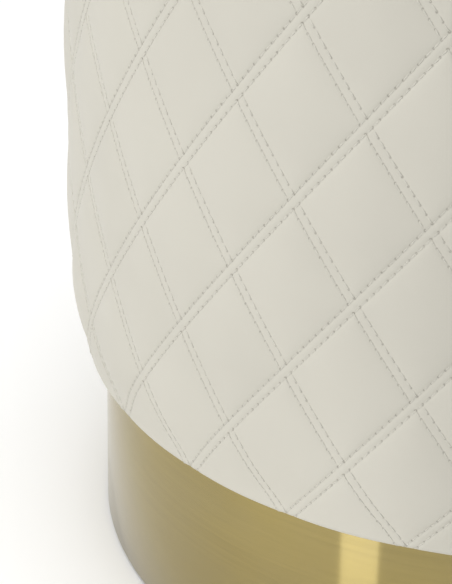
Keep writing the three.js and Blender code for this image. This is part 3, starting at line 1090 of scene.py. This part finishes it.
class Finish:
    """A material whose nodes are made and joined one line at a time."""

    made = {}

    def __init__(self, name, **constants):
        self.material = bpy.data.materials.new(name)
        self.material.use_nodes = True
        tree = self.material.node_tree
        tree.nodes.clear()
        self.nodes, self.links = tree.nodes, tree.links
        self.shader = self.nodes.new("ShaderNodeBsdfPrincipled")
        output = self.nodes.new("ShaderNodeOutputMaterial")
        self.links.new(self.shader.outputs[0], output.inputs[0])
        for key, value in constants.items():
            self.shader.inputs[key.replace("_", " ")].default_value = value

    def join(self, value, socket):
        if isinstance(value, bpy.types.NodeSocket):
            self.links.new(value, socket)
        elif isinstance(value, (tuple, list)) and socket.type == "RGBA":
            socket.default_value = (*value[:3], 1)
        else:
            socket.default_value = value

    def add(self, kind, **inputs):
        node = self.nodes.new("ShaderNode" + kind)
        for key, value in inputs.items():
            self.join(value, node.inputs[key])
        return node

    def place(self):
        return self.nodes.new("ShaderNodeTexCoord").outputs["Object"]

    def stretch(self, vector, scale):
        return self.add("Mapping", Vector=vector, Scale=scale).outputs[0]

    def combine(self, x, y, z):
        return self.add("CombineXYZ", X=x, Y=y, Z=z).outputs[0]

    def math(self, operation, a, b=0.0, c=0.0):
        node = self.nodes.new("ShaderNodeMath")
        node.operation = operation
        for value, socket in zip((a, b, c), node.inputs):
            self.join(value, socket)
        return node.outputs[0]

    def split(self, vector):
        return self.add("SeparateXYZ", Vector=vector).outputs

    def angle(self, x, y):
        """The angle around the drum, whose jump lies at the back, where the seams are."""
        return self.math("ARCTAN2", x, self.math("MULTIPLY", y, -1.0))

    def hypot(self, a, b):
        squares = (self.math("MULTIPLY", x, x) for x in (a, b))
        return self.math("SQRT", self.math("ADD", *squares))

    def noise(self, vector, scale, detail=3.0, roughness=0.5):
        node = self.add("TexNoise", Vector=vector, Scale=scale, Detail=detail, Roughness=roughness)
        return node.outputs[0]

    def cells(self, vector, scale, feature="F1"):
        node = self.nodes.new("ShaderNodeTexVoronoi")
        node.feature = feature
        self.join(vector, node.inputs["Vector"])
        node.inputs["Scale"].default_value = scale
        return node.outputs["Distance"]

    def remap(self, value, a, b, c, d, smooth_ends=False):
        node = self.nodes.new("ShaderNodeMapRange")
        if smooth_ends:
            node.interpolation_type = "SMOOTHSTEP"
        for v, socket in zip((value, a, b, c, d), node.inputs):
            self.join(v, socket)
        return node.outputs[0]

    def mix(self, factor, a, b):
        node = self.nodes.new("ShaderNodeMix")
        node.data_type = "RGBA"
        for value, place in ((factor, 0), (a, 6), (b, 7)):
            self.join(value, node.inputs[place])
        return node.outputs[2]

    def tones(self, value, colour, dark, light, low=0.3, high=0.7):
        """The colour from its dark shade to its light one, as the value goes from low to high."""
        blend = self.remap(value, low, high, 0, 1)
        return self.mix(blend, shade(colour, dark), shade(colour, light))

    def over(self, base, value, low, high, amount, colour):
        """Lays up to an amount of a colour over the base, where the value is high."""
        return self.mix(self.remap(value, low, high, 0, amount), base, colour)

    def bump(self, height, distance, strength=1.0, normal=None):
        node = self.add("Bump", Height=height, Distance=distance, Strength=strength)
        if normal is not None:
            self.join(normal, node.inputs["Normal"])
        return node.outputs[0]

    def set(self, **sockets):
        for key, value in sockets.items():
            self.join(value, self.shader.inputs[key.replace("_", " ")])
        return self.material


def kept(build):
    """Each finish is made once and shared by the pieces that have it."""

    def fetch():
        if build.__name__ not in Finish.made:
            Finish.made[build.__name__] = build()
        return Finish.made[build.__name__]

    return fetch


def shade(colour, by):
    return tuple(min(1.0, c * by) for c in colour)


def leather_grain(finish, where):
    """The leather's uneven tone, its fine pebbled grain and its soft waviness."""
    pebble = finish.cells(where, 1500, "SMOOTH_F1")
    fine = finish.noise(where, 900, 4)
    broad = finish.noise(where, 14, 3)
    drape = finish.noise(where, 60, 2)
    grain = finish.math("MULTIPLY_ADD", pebble, 0.6, finish.math("MULTIPLY", fine, 0.5))
    tone = finish.remap(broad, 0.3, 0.7, 0.965, 1.02)
    return tone, grain, drape


@kept
def plain_leather():
    finish = Finish("cream leather, plain", Roughness=0.52)
    tone, grain, drape = leather_grain(finish, finish.place())
    base = finish.mix(tone, BLACK, colours().leather[:])
    normal = finish.bump(drape, 0.25 * MM, 0.4, finish.bump(grain, 0.05 * MM, 0.6))
    return finish.set(Base_Color=base, Normal=normal)


@kept
def quilted_leather():
    """Cream leather with the painted shade of the needle holes and furrows of its twin seams,
    placed by the flat pattern.
    """
    quilt = Quilt()
    finish = Finish("cream leather, quilted")
    where = finish.place()
    m = finish.math
    tone, grain, drape = leather_grain(finish, where)
    pattern = finish.nodes.new("ShaderNodeUVMap")
    pattern.uv_map = "quilt"
    around, up, _ = finish.split(pattern.outputs[0])
    p, q = m("ADD", up, around), m("SUBTRACT", up, around)

    def off_whole(x):
        return m("SUBTRACT", x, m("ROUND", x))

    def holes(own, other):
        """Distance to the nearest needle hole, row and middle of one direction's twin seams."""
        off = m("MULTIPLY", off_whole(own), quilt.across)
        along = m("MULTIPLY_ADD", off, HOLE_SKEW, other)
        count = m("MULTIPLY_ADD", along, quilt.stitches, 0.5)
        from_hole = m("MULTIPLY", off_whole(count), quilt.pitch)
        from_row = m("SUBTRACT", m("ABSOLUTE", off), quilt.gauge / 2)
        return finish.hypot(from_hole, from_row), m("ABSOLUTE", from_row), m("ABSOLUTE", off)

    rising, rising_row, rising_off = holes(q, p)
    falling, falling_row, _ = holes(p, q)
    # Where two twin seams cross, the upper and lower needle holes are pulled wide open.
    across = m("MULTIPLY", m("SUBTRACT", off_whole(p), off_whole(q)), quilt.w / 2)
    upright = m("MULTIPLY", m("ADD", off_whole(p), off_whole(q)), quilt.h / 2)
    tip = quilt.gauge / 2 / quilt.across * quilt.h
    from_tip = m("SUBTRACT", m("ABSOLUTE", upright), tip)
    corner = finish.hypot(across, from_tip)
    uneven = finish.noise(where, 160, 1)
    hole_size = finish.remap(uneven, 0.3, 0.7, 0.42 * MM, 0.60 * MM)

    def dot(far, size):
        inner, outer = m("MULTIPLY", size, 0.45), m("MULTIPLY", size, 1.25)
        return finish.remap(far, inner, outer, 1.0, 0.0, True)

    dots = m("MAXIMUM", dot(rising, hole_size), m("MULTIPLY", dot(falling, hole_size), 0.9))
    dots = m("MAXIMUM", dots, dot(corner, 0.66 * MM))
    # The leather is painted a little darker along the furrow under the thread: painted shade.
    near_rising = finish.remap(rising_row, 0.0, 0.75 * MM, 1.0, 0.0, True)
    near_falling = finish.remap(falling_row, 0.0, 0.75 * MM, 0.2, 0.0, True)
    in_band = finish.remap(rising_off, quilt.gauge / 2 - 0.5 * MM, quilt.gauge / 2, 0.15, 1.0)
    furrow = m("MAXIMUM", near_rising, m("MULTIPLY", near_falling, in_band))
    colour = colours().leather[:]
    base = finish.mix(tone, BLACK, colour)
    # Painted shade along the furrows under the threads.
    base = finish.mix(m("MULTIPLY", furrow, 0.10), base, shade(colour, 0.62))
    # Painted shade in the needle holes, which the bump below also sinks.
    base = finish.mix(m("MULTIPLY", dots, 0.58), base, NEEDLE_HOLE_SHADE)
    sunk = m("SUBTRACT", 1.0, dots)
    normal = finish.bump(grain, 0.05 * MM, 0.6)
    normal = finish.bump(drape, 0.25 * MM, 0.4, normal)
    normal = finish.bump(sunk, 0.25 * MM, 0.6, normal)
    rough = finish.remap(finish.noise(where, 35, 2), 0.3, 0.7, 0.48, 0.58)
    return finish.set(Base_Color=base, Normal=normal, Roughness=rough)


@kept
def sewing_thread():
    finish = Finish("cream thread", Roughness=0.6, Sheen_Weight=0.15)
    where = finish.place()
    twist = finish.noise(where, 2600, 2)
    tone = finish.remap(twist, 0.3, 0.7, 0.86, 1.04)
    base = finish.mix(tone, BLACK, colours().thread[:])
    return finish.set(Base_Color=base, Normal=finish.bump(twist, 0.08 * MM, 0.6))


@kept
def brushed_brass():
    """Sheet brass brushed along its length: fine streaks that run around the band."""
    finish = Finish(
        "brushed brass", Metallic=1.0, Anisotropic=1.0, Anisotropic_Rotation=0.25,
        Coat_Weight=0.55, Coat_Roughness=0.08,
    )
    m = finish.math
    where = finish.place()
    x, y, z = finish.split(where)
    angle = finish.angle(x, y)
    narrow = finish.combine(m("MULTIPLY", angle, 6.0), m("MULTIPLY", z, 2600.0), 0.0)
    fine = finish.noise(narrow, 1.0, 3, 0.6)
    wide = finish.combine(m("MULTIPLY", angle, 2.2), m("MULTIPLY", z, 420.0), 3.0)
    streak = finish.noise(wide, 1.0, 2, 0.5)
    mottle = finish.noise(where, 18, 3)
    colour = colours().brass[:]
    base = finish.tones(fine, colour, 0.9, 1.08)
    base = finish.over(base, streak, 0.35, 0.7, 0.35, shade(colour, 1.18))
    base = finish.over(base, mottle, 0.35, 0.65, 0.12, (0.30, 0.27, 0.20))
    cloudy = finish.remap(mottle, 0.3, 0.7, 0, 0.04)
    rough = m("ADD", finish.remap(fine, 0.3, 0.7, 0.15, 0.20), cloudy)
    tangent = finish.nodes.new("ShaderNodeTangent")
    tangent.direction_type, tangent.axis = "RADIAL", "Z"
    finish.join(tangent.outputs[0], finish.shader.inputs["Tangent"])
    normal = finish.bump(fine, 0.006 * MM, 0.3)
    return finish.set(Base_Color=base, Roughness=rough, Normal=normal)


@kept
def turned_brass():
    finish = Finish("screw brass", Metallic=1.0)
    wear = finish.noise(finish.place(), 700, 3)
    return finish.set(
        Base_Color=finish.tones(wear, colours().brass[:], 0.8, 1.1),
        Roughness=finish.remap(wear, 0.3, 0.7, 0.26, 0.4),
        Normal=finish.bump(wear, 0.02 * MM, 0.4),
    )


@kept
def zinc_steel():
    finish = Finish("zinc-plated steel", Metallic=1.0)
    where = finish.place()
    spangle = finish.noise(where, 420, 3)
    broad = finish.noise(where, 60, 2)
    base = finish.tones(spangle, colours().steel[:], 0.82, 1.1)
    return finish.set(
        Base_Color=finish.over(base, broad, 0.4, 0.7, 0.25, (0.42, 0.45, 0.36)),
        Roughness=finish.remap(spangle, 0.3, 0.7, 0.3, 0.5),
        Normal=finish.bump(spangle, 0.03 * MM, 0.4),
    )


def wood(name, colour, ply=None, bent=False, upright=False):
    """Grain along the board, and glued layers where ply gives their thickness."""
    finish = Finish(name)
    m = finish.math
    where = finish.place()
    x, y, z = finish.split(where)
    far = finish.hypot(x, y)
    if bent:
        sheet = finish.combine(m("MULTIPLY", finish.angle(x, y), 0.2), z, far)
    elif upright:
        sheet = finish.combine(z, x, y)
    else:
        sheet = where
    figure = finish.noise(finish.stretch(sheet, (6, 160, 160)), 1.0, 4, 0.6)
    fleck = finish.noise(finish.stretch(sheet, (60, 1500, 1500)), 1.0, 2, 0.5)
    base = finish.tones(figure, colour, 0.72, 1.15)
    base = finish.over(base, fleck, 0.55, 0.75, 0.35, shade(colour, 0.5))
    if ply:
        depth = far if bent else z
        layer = m("PINGPONG", m("DIVIDE", depth, ply), 1.0)
        glue = finish.remap(layer, 0.0, 0.12, 0.7, 0.0)
        cross = finish.remap(layer, 0.45, 0.55, 0.0, 0.25)
        base = finish.mix(cross, base, shade(colour, 0.6))
        base = finish.mix(glue, base, shade(colour, 0.3))
    rough = finish.remap(figure, 0.3, 0.7, 0.62, 0.78)
    return finish.set(Base_Color=base, Roughness=rough, Normal=finish.bump(fleck, 0.15 * MM, 0.5))


@kept
def plywood_board():
    return wood("plywood board", colours().plywood[:], ply=1.5 * MM)


@kept
def plywood_hoop():
    return wood("bent plywood", colours().plywood[:], ply=1.0 * MM, bent=True)


@kept
def softwood():
    return wood("softwood", colours().softwood[:], upright=True)


@kept
def fibreboard():
    finish = Finish("hardboard")
    where = finish.place()
    fibres = finish.noise(where, 900, 4, 0.7)
    clumps = finish.noise(where, 90, 3)
    colour = colours().fibreboard[:]
    base = finish.tones(fibres, colour, 0.6, 1.4)
    return finish.set(
        Base_Color=finish.over(base, clumps, 0.35, 0.65, 0.3, shade(colour, 0.7)),
        Roughness=finish.remap(fibres, 0.3, 0.7, 0.6, 0.85),
        Normal=finish.bump(fibres, 0.12 * MM, 0.6),
    )


@kept
def upholstery_foam():
    finish = Finish("upholstery foam")
    where = finish.place()
    pores = finish.cells(where, 700)
    broad = finish.noise(where, 20, 3)
    colour = colours().foam[:]
    base = finish.tones(pores, colour, 0.7, 1.05, 0.1, 0.6)
    return finish.set(
        Base_Color=finish.over(base, broad, 0.3, 0.7, 0.2, shade(colour, 0.85)),
        Roughness=finish.remap(pores, 0.1, 0.6, 0.95, 0.85),
        Normal=finish.bump(pores, 0.5 * MM, 0.7),
    )


@kept
def polyester_wadding():
    finish = Finish("polyester wadding", Sheen_Weight=0.4)
    where = finish.place()
    fluff = finish.noise(where, 260, 5, 0.7)
    fibres = finish.noise(finish.stretch(where, (300, 900, 300)), 1.0, 3)
    return finish.set(
        Base_Color=finish.tones(fluff, colours().wadding[:], 0.84, 1),
        Roughness=finish.remap(fibres, 0.3, 0.7, 0.85, 1.0),
        Normal=finish.bump(finish.math("ADD", fluff, fibres), 0.8 * MM, 0.7),
    )


@kept
def non_woven():
    """Spunbonded cloth: short fibres pressed together in a regular grid of small points."""
    finish = Finish("black non-woven", Sheen_Weight=0.3)
    where = finish.place()
    x, y, _ = finish.split(where)
    m = finish.math
    fibres = finish.noise(finish.stretch(where, (500, 1600, 500)), 1.0, 4)
    cross = finish.noise(finish.stretch(where, (1600, 500, 500)), 1.0, 4)
    grid = m("MULTIPLY", m("SINE", m("MULTIPLY", x, 3100.0)), m("SINE", m("MULTIPLY", y, 3100.0)))
    points = finish.remap(grid, 0.45, 0.8, 0.0, 1.0, True)
    lint = m("MAXIMUM", fibres, cross)
    colour = colours().felt[:]
    base = finish.tones(lint, colour, 1, 3.2, 0.45, 0.75)
    base = finish.mix(m("MULTIPLY", points, 0.6), base, shade(colour, 0.4))
    height = m("SUBTRACT", lint, m("MULTIPLY", points, 0.7))
    rough = finish.remap(points, 0.0, 1.0, 0.9, 0.5)
    return finish.set(Base_Color=base, Roughness=rough, Normal=finish.bump(height, 0.15 * MM, 0.8))


@kept
def moulded_plastic():
    finish = Finish("black plastic")
    where = finish.place()
    skin = finish.noise(where, 1200, 3)
    scuffs = finish.noise(finish.stretch(where, (60, 700, 60)), 1.0, 3)
    colour = colours().plastic[:]
    return finish.set(
        Base_Color=finish.over(colour, scuffs, 0.55, 0.75, 0.35, (0.10, 0.10, 0.105)),
        Roughness=finish.remap(skin, 0.3, 0.7, 0.38, 0.52),
        Normal=finish.bump(skin, 0.03 * MM, 0.5),
    )


CAD_FINISHES = (
    (("plinth_lower_board", "plinth_upper_board", "drum_board", "seat_board"), plywood_board),
    (("plinth_hoop",), plywood_hoop),
    (("plinth_block", "drum_post"), softwood),
    (("drum_wall", "packing_disc"), fibreboard),
    (("drum_bolt", "bolt_washer", "flanged_nut"), zinc_steel),
)


def finish_frame():
    """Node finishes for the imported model's own parts, which keep their shape."""
    for name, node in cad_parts.items():
        for starts, finish in CAD_FINISHES:
            if name.startswith(starts):
                node.data.materials.clear()
                node.data.materials.append(finish())


# ---- The stage ----


def towards(place, aim):
    return (Vector(aim) - Vector(place)).to_track_quat("-Z", "Y").to_euler()


def area_light(name, place, rotation, size, power):
    deselect_all()
    bpy.ops.object.light_add(type="AREA", location=place, rotation=rotation)
    lamp = bpy.context.object
    lamp.name = name
    lamp.data.shape = "RECTANGLE"
    lamp.data.size, lamp.data.size_y = size
    lamp.data.energy = power
    lamp.visible_camera = False


def make_camera():
    """A long lens from a little above, turned as the object is seen in use."""
    pitch, roll, heading = (math.radians(a) for a in (28.897, 1.677, 0.544))
    deselect_all()
    bpy.ops.object.camera_add()
    camera = bpy.context.object
    camera.name = "camera"
    camera.data.lens, camera.data.sensor_width, camera.data.sensor_fit = 112.57, 36, "AUTO"
    camera.data.clip_start, camera.data.clip_end = 0.01, 50
    turn = (
        Matrix.Rotation(heading, 4, "Z")
        @ Matrix.Rotation(math.pi / 2 - pitch, 4, "X")
        @ Matrix.Rotation(roll, 4, "Z")
    )
    camera.matrix_world = Matrix.Translation((-0.1230, -0.8030, 0.557)) @ turn
    bpy.context.scene.camera = camera


def make_stage():
    scene = bpy.context.scene
    deselect_all()
    bpy.ops.mesh.primitive_plane_add(size=12, location=(0, 0, 0))
    floor = bpy.context.object
    floor.name = "floor"
    pale = Finish("pale floor", Roughness=0.9)
    broad = pale.noise(pale.place(), 3, 2)
    pale.set(Base_Color=pale.mix(broad, (0.955, 0.955, 0.95), (0.975, 0.975, 0.97)))
    floor.data.materials.append(pale.material)
    world = bpy.data.worlds.new("studio")
    world.use_nodes = True
    world.node_tree.nodes["Background"].inputs[0].default_value = (1, 1, 1, 1)
    world.node_tree.nodes["Background"].inputs[1].default_value = 0.42
    scene.world = world
    key, top = (-2.1, -1.5, 1.5), (-0.3, -0.2, 2.8)
    area_light("key", key, towards(key, (0, 0, 0.25)), (1.6, 1.6), 32)
    area_light("top", top, towards(top, (-0.1, 0, 0)), (2.6, 2.6), 60)
    # A small upright light close to the plinth draws one bright stripe up the band.
    strip = (-0.1264, -0.2577, 0.05)
    area_light("strip", strip, towards(strip, (-0.0679, -0.1767, 0.05)), (0.0350, 0.10), 0.0138)
    scene.view_settings.view_transform = "Standard"
    scene.view_settings.look = "None"
    make_camera()


# ---- Operators, one for each piece or group of like pieces ----


class Maker:
    """What all the pouf's operators share."""

    bl_options = {"REGISTER", "UNDO"}


class POUF_OT_frame_finishes(Maker, bpy.types.Operator):
    """Gives the frame's parts their finishes"""

    bl_idname = "pouf.frame_finishes"
    bl_label = "Frame finishes"

    def execute(self, context):
        finish_frame()
        return {"FINISHED"}


class POUF_OT_side_cover(Maker, bpy.types.Operator):
    """Makes the quilted leather side"""

    bl_idname = "pouf.side_cover"
    bl_label = "Side cover"

    def execute(self, context):
        make_side_cover()
        return {"FINISHED"}


class POUF_OT_side_stitches(Maker, bpy.types.Operator):
    """Sews the side's twin seams"""

    bl_idname = "pouf.side_stitches"
    bl_label = "Side stitches"

    def execute(self, context):
        make_side_stitches()
        return {"FINISHED"}


class POUF_OT_seat_cover(Maker, bpy.types.Operator):
    """Makes the quilted leather seat"""

    bl_idname = "pouf.seat_cover"
    bl_label = "Seat cover"

    def execute(self, context):
        make_seat_cover()
        return {"FINISHED"}


class POUF_OT_seat_stitches(Maker, bpy.types.Operator):
    """Sews the seat's twin seams"""

    bl_idname = "pouf.seat_stitches"
    bl_label = "Seat stitches"

    def execute(self, context):
        make_seat_stitches()
        return {"FINISHED"}


class POUF_OT_piping(Maker, bpy.types.Operator):
    """Makes the leather piping between side and seat"""

    bl_idname = "pouf.piping"
    bl_label = "Piping"

    def execute(self, context):
        make_piping()
        return {"FINISHED"}


class POUF_OT_band(Maker, bpy.types.Operator):
    """Makes the plinth's brushed metal band"""

    bl_idname = "pouf.band"
    bl_label = "Plinth band"

    def execute(self, context):
        make_band()
        return {"FINISHED"}


class POUF_OT_band_screws(Maker, bpy.types.Operator):
    """Makes the four screws beside the band's seam"""

    bl_idname = "pouf.band_screws"
    bl_label = "Band screws"

    def execute(self, context):
        make_band_screws()
        return {"FINISHED"}


class POUF_OT_glides(Maker, bpy.types.Operator):
    """Makes the six plastic glides"""

    bl_idname = "pouf.glides"
    bl_label = "Glides"

    def execute(self, context):
        make_glides()
        return {"FINISHED"}


class POUF_OT_glide_screws(Maker, bpy.types.Operator):
    """Makes the screws that hold the glides"""

    bl_idname = "pouf.glide_screws"
    bl_label = "Glide screws"

    def execute(self, context):
        make_glide_screws()
        return {"FINISHED"}


class POUF_OT_dust_cover(Maker, bpy.types.Operator):
    """Makes the cloth under the plinth"""

    bl_idname = "pouf.dust_cover"
    bl_label = "Dust cover"

    def execute(self, context):
        make_dust_cover()
        return {"FINISHED"}


class POUF_OT_staples(Maker, bpy.types.Operator):
    """Staples the dust cover to the plinth"""

    bl_idname = "pouf.staples"
    bl_label = "Staples"

    def execute(self, context):
        make_staples()
        return {"FINISHED"}


class POUF_OT_side_foam(Maker, bpy.types.Operator):
    """Makes the foam sleeve behind the side"""

    bl_idname = "pouf.side_foam"
    bl_label = "Side foam"

    def execute(self, context):
        make_side_foam()
        return {"FINISHED"}


class POUF_OT_seat_foam(Maker, bpy.types.Operator):
    """Makes the seat's foam block"""

    bl_idname = "pouf.seat_foam"
    bl_label = "Seat foam"

    def execute(self, context):
        make_seat_foam()
        return {"FINISHED"}


class POUF_OT_seat_wadding(Maker, bpy.types.Operator):
    """Makes the wadding over the seat's foam"""

    bl_idname = "pouf.seat_wadding"
    bl_label = "Seat wadding"

    def execute(self, context):
        make_seat_wadding()
        return {"FINISHED"}


class POUF_OT_stage(Maker, bpy.types.Operator):
    """Makes the floor, the lights and the camera"""

    bl_idname = "pouf.stage"
    bl_label = "Stage"

    def execute(self, context):
        make_stage()
        return {"FINISHED"}


OPERATORS = (
    POUF_OT_frame_finishes, POUF_OT_side_cover, POUF_OT_side_stitches, POUF_OT_seat_cover,
    POUF_OT_seat_stitches, POUF_OT_piping, POUF_OT_band, POUF_OT_band_screws, POUF_OT_glides,
    POUF_OT_glide_screws, POUF_OT_dust_cover, POUF_OT_staples, POUF_OT_side_foam,
    POUF_OT_seat_foam, POUF_OT_seat_wadding, POUF_OT_stage,
)


class POUF_PT_panel(bpy.types.Panel):
    """Lists the pouf's sizes, colours and operators"""

    bl_label = "Quilted Drum Pouf"
    bl_space_type = "VIEW_3D"
    bl_region_type = "UI"
    bl_category = "Pouf"

    def draw(self, context):
        for group in (
            context.scene.pouf_quilt, context.scene.pouf_shape, context.scene.pouf_colours,
        ):
            box = self.layout.box()
            for name in group.__annotations__:
                box.prop(group, name)
        for item in OPERATORS:
            self.layout.operator(item.bl_idname)


CLASSES = (PoufQuilt, PoufShape, PoufColours, *OPERATORS, POUF_PT_panel)


def register():
    for item in CLASSES:
        bpy.utils.register_class(item)
    bpy.types.Scene.pouf_quilt = PointerProperty(type=PoufQuilt)
    bpy.types.Scene.pouf_shape = PointerProperty(type=PoufShape)
    bpy.types.Scene.pouf_colours = PointerProperty(type=PoufColours)


def unregister():
    del bpy.types.Scene.pouf_colours
    del bpy.types.Scene.pouf_shape
    del bpy.types.Scene.pouf_quilt
    for item in reversed(CLASSES):
        bpy.utils.unregister_class(item)


def main():
    register()
    for item in OPERATORS:
        action = item.bl_idname.split(".")[1]
        getattr(bpy.ops.pouf, action)()
    bpy.context.view_layer.update()


if __name__ == "__main__":
    main()
